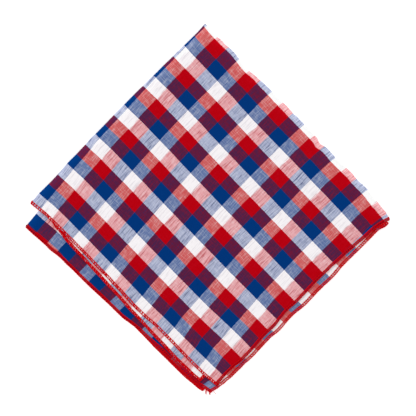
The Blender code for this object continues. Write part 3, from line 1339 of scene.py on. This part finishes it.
@dataclass
class OverlockHem:
    """Three-thread overlocking over the rolled hem, along all four cut edges."""

    lay: FoldedLay
    finish: SewingThread
    stitches: dict[Edge, Stitch] = field(default_factory=lambda: {
        Edge.RIGHT_OF_TOP: Stitch(length=2.1, second_looper=0.5, uneven=0.10, thread=0.30, swelling=0.1),
        Edge.RIGHT_OF_UNDER: Stitch(length=2.1, second_looper=0.45, uneven=0.10, thread=0.32, swelling=0.2),
        Edge.LEFT_OF_TOP: Stitch(length=2.6, second_looper=0.42, uneven=0.24, thread=0.41, swelling=0.45),
        Edge.LEFT_OF_UNDER: Stitch(length=2.2, second_looper=0.45, uneven=0.12, thread=0.31, swelling=0.1),
    })
    points_per_stitch: int = 8
    looper_middle: float = 1.0
    looper_reach: float = 1.05
    looper_height: float = 0.5
    # Lengths over which the loops' timing, reach and thickness vary, and by how much their reach does.
    timing_length: float = 2.6
    reach_length: float = 3.1
    swelling_length: float = 2.4
    reach_variation: float = 0.08
    # The lower looper: its height, where in the stitch it falls, and its flattened thread.
    under_looper_height: float = -0.46
    under_looper_start: float = 0.7
    under_timing_length: float = 1.9
    under_unevenness: float = 0.08
    under_width_share: float = 0.95
    under_height_share: float = 0.65
    needle_inset: float = 2.05
    needle_half_width: float = 0.46
    needle_half_height: float = 0.2
    needle_height: float = 0.36
    needle_bead: float = 0.25
    needle_sway_length: float = 2.3
    edge_half_width: float = 0.5
    edge_half_height: float = 0.34
    edge_sway_length: float = 2.9
    sway: float = 0.10
    tails: tuple[ThreadTail, ...] = (
        ThreadTail(start=(-0.6, -157.5), end=(-1.2, -162.6), bow=0.5, half_thickness=0.55, level=1.5),
        ThreadTail(start=(1.0, -158.5), end=(2.0, -162.9), bow=-0.4, half_thickness=0.60, level=1.3),
        ThreadTail(start=(5.4, -159.8), end=(7.7, -162.3), bow=0.2, half_thickness=0.16, level=0.8),
    )
    tail_points: int = 12
    tail_sides: int = 8
    tail_taper: float = 0.35

    def loopers(self, hem: HemPath, strands: Strands, seed: int) -> None:
        """Winds the two looper threads round one hem.

        Args:
            hem: The hem.
            strands: Where the tubes go.
            seed: Picks how uneven the stitches are.
        """
        stitch = self.stitches[hem.edge]
        distance, way = hem.walk(stitch.length / self.points_per_stitch)
        reach = noise_along(distance / self.reach_length, seed + Draw.REACH)
        reach = self.looper_reach * (1.0 + self.reach_variation * reach)
        swelling = stitch.swelling * noise_along(distance / self.swelling_length, seed + Draw.SWELLING)
        thread = stitch.thread * (1.0 + swelling)
        for number, start in enumerate((0.0, stitch.second_looper)):
            timing = noise_along(distance / self.timing_length, seed + Draw.LOOPERS + number)
            angle = 2.0 * np.pi * (distance / stitch.length + start + stitch.uneven * timing)
            inset = self.looper_middle + reach * np.cos(angle)
            path, normal = hem.lift(way, inset, self.looper_height * np.sin(angle))
            strands.add(path, normal, thread, thread)

    def under_looper(self, hem: HemPath, strands: Strands, seed: int) -> None:
        """Lays the lower looper's close zigzag on the cloth's reverse.

        Args:
            hem: The hem.
            strands: Where the tubes go.
            seed: Picks how uneven the stitches are.
        """
        stitch = self.stitches[hem.edge]
        distance, way = hem.walk(stitch.length / self.points_per_stitch)
        timing = noise_along(distance / self.under_timing_length, seed + Draw.UNDER_LOOPER)
        turns = distance / stitch.length + self.under_looper_start + self.under_unevenness * timing
        inset = self.looper_middle + self.looper_reach * np.cos(2.0 * np.pi * turns)
        path, normal = hem.lift(way, inset, np.full_like(way, self.under_looper_height))
        half_width = self.under_width_share * stitch.thread
        strands.add(path, normal, half_width, self.under_height_share * stitch.thread)

    def lines(self, hem: HemPath, strands: Strands, seed: int) -> None:
        """Runs the needle thread on both faces, and the plaited line on the cut edge.

        Args:
            hem: The hem.
            strands: Where the tubes go.
            seed: Picks how uneven the stitches are.
        """
        distance, way = hem.walk(0.5 * self.stitches[hem.edge].length)
        in_turn = np.cos(np.pi * np.arange(len(distance)))
        bead = 1.0 + self.needle_bead * in_turn
        sway = self.sway * noise_along(distance / self.needle_sway_length, seed + Draw.NEEDLE)
        for height in (self.needle_height, -self.needle_height):
            path, normal = hem.lift(way, self.needle_inset + sway, np.full_like(way, height))
            strands.add(path, normal, self.needle_half_width * bead, self.needle_half_height * bead)
        sway = noise_along(distance / self.edge_sway_length, seed + Draw.CUT_EDGE)
        path, normal = hem.lift(way, self.sway * in_turn + self.sway * sway, np.zeros_like(way))
        strands.add(path, normal, self.edge_half_width, self.edge_half_height)

    def ends(self, strands: Strands) -> None:
        """Adds the loose ends of thread.

        Args:
            strands: Where the tubes go.
        """
        for tail in self.tails:
            share = np.linspace(0.0, 1.0, self.tail_points)
            start, end = np.array(tail.start), np.array(tail.end)
            sideways = np.array([end[1] - start[1], start[0] - end[0]]) / np.linalg.norm(end - start)
            plan = start + (end - start) * share[:, None]
            plan = plan + sideways * (tail.bow * np.sin(np.pi * share))[:, None]
            level = tail.level * (1.0 - share) + tail.half_thickness * share
            path = np.column_stack([plan, level])
            taper = tail.half_thickness * (1.0 - self.tail_taper * share**3)
            strands.add(path, np.tile([0.0, 0.0, 1.0], (len(path), 1)), taper, taper)

    def dress(self) -> list[bpy.types.Object]:
        """Makes the threads and their finish.

        Returns:
            The looper threads, the lower looper, the needle and edge lines, and the loose ends.
        """
        material = self.finish.make()
        winding, under, straight, loose = Strands(), Strands(), Strands(), Strands(sides=self.tail_sides)
        for number, edge in enumerate(Edge):
            hem = HemPath(self.lay, edge)
            seed = Draw.NEXT_EDGE * number
            self.loopers(hem, winding, seed)
            self.under_looper(hem, under, seed)
            self.lines(hem, straight, seed)
        self.ends(loose)
        return [
            winding.piece("looper_thread", material),
            under.piece("lower_looper_thread", material),
            straight.piece("needle_thread", material),
            loose.piece("thread_tails", material),
        ]


@dataclass(frozen=True)
class MattLaminate:
    """White laminate, pressed with a matt face: even, bright and nearly without shine."""

    name: str = "matt_white_laminate"
    colour: str = "#F6F6F6"
    # The table keeps a light of its own, so no shadow greys it.
    glow: float = 0.35
    roughness: float = 0.9
    specular: float = 0.1

    def make(self) -> bpy.types.Material:
        """Makes the material.

        Returns:
            The new material.
        """
        material = bpy.data.materials.new(self.name)
        material.use_nodes = True
        tree = material.node_tree
        tree.nodes.clear()
        shader = add_node(tree, "BsdfPrincipled", Base_Color=linear(self.colour),
                          Roughness=self.roughness, Specular_IOR_Level=self.specular,
                          Emission_Color=linear(WHITE), Emission_Strength=self.glow)
        add_node(tree, "OutputMaterial", Surface=shader.outputs[0])
        return material


@dataclass(frozen=True)
class SoftLight:
    """A square studio light: its name, place, width and power."""

    name: str
    place: tuple[float, float, float]
    width: float
    power: float


@dataclass
class Studio:
    """A white table seen from straight above, in soft light."""

    # Metres from here on: the camera stands over the middle of the picture.
    camera_place: tuple[float, float, float] = (0.00042, 0.00176, 2.0383)
    lens: float = 200.0
    clip_end: float = 20.0
    floor_width: float = 8.0
    floor_finish: MattLaminate = MattLaminate()
    surround: float = 0.84
    lights: tuple[SoftLight, ...] = (
        SoftLight(name="key_light", place=(-0.8, 0.8, 1.5), width=1.0, power=6.0),
        SoftLight(name="fill_light", place=(0.9, -0.5, 1.8), width=1.6, power=2.2),
    )

    def set_up(self) -> None:
        """Builds the floor, surround, lights and camera."""
        scene = bpy.context.scene
        scene.view_settings.view_transform = "Standard"
        self.lay_floor()
        world = bpy.data.worlds.new("surround")
        world.use_nodes = True
        background = world.node_tree.nodes["Background"]
        background.inputs["Color"].default_value = linear(WHITE)
        background.inputs["Strength"].default_value = self.surround
        scene.world = world
        for light in self.lights:
            data = bpy.data.lights.new(light.name, "AREA")
            data.energy = light.power
            data.size = light.width
            lamp = bpy.data.objects.new(light.name, data)
            lamp.location = light.place
            lamp.rotation_euler = (-Vector(light.place)).to_track_quat("-Z", "Y").to_euler()
            scene.collection.objects.link(lamp)
        data = bpy.data.cameras.new("overhead_camera")
        data.lens = self.lens
        data.clip_end = self.clip_end
        camera = bpy.data.objects.new("overhead_camera", data)
        camera.location = self.camera_place
        scene.collection.objects.link(camera)
        scene.camera = camera

    def lay_floor(self) -> None:
        """Lays the table top."""
        half = 0.5 * self.floor_width
        mesh = bpy.data.meshes.new("table_top")
        corners = [(-half, -half, 0.0), (half, -half, 0.0), (half, half, 0.0), (-half, half, 0.0)]
        mesh.from_pydata(corners, [], [(0, 1, 2, 3)])
        mesh.materials.append(self.floor_finish.make())
        floor = bpy.data.objects.new("table_top", mesh)
        bpy.context.scene.collection.objects.link(floor)


def main() -> None:
    """Builds the scene in order."""
    logging.basicConfig(level=logging.INFO, format="%(message)s")
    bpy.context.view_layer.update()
    Studio().set_up()
    LOG.info("studio ready")
    lay = FoldedLay()
    cloth = GinghamCloth(lay, CheckedCotton()).dress()
    LOG.info("%s: %d faces", cloth.name, len(cloth.data.polygons))
    threads = OverlockHem(lay, SewingThread()).dress()
    for thread in threads:
        LOG.info("%s: %d faces", thread.name, len(thread.data.polygons))


if __name__ == "__main__":
    main()
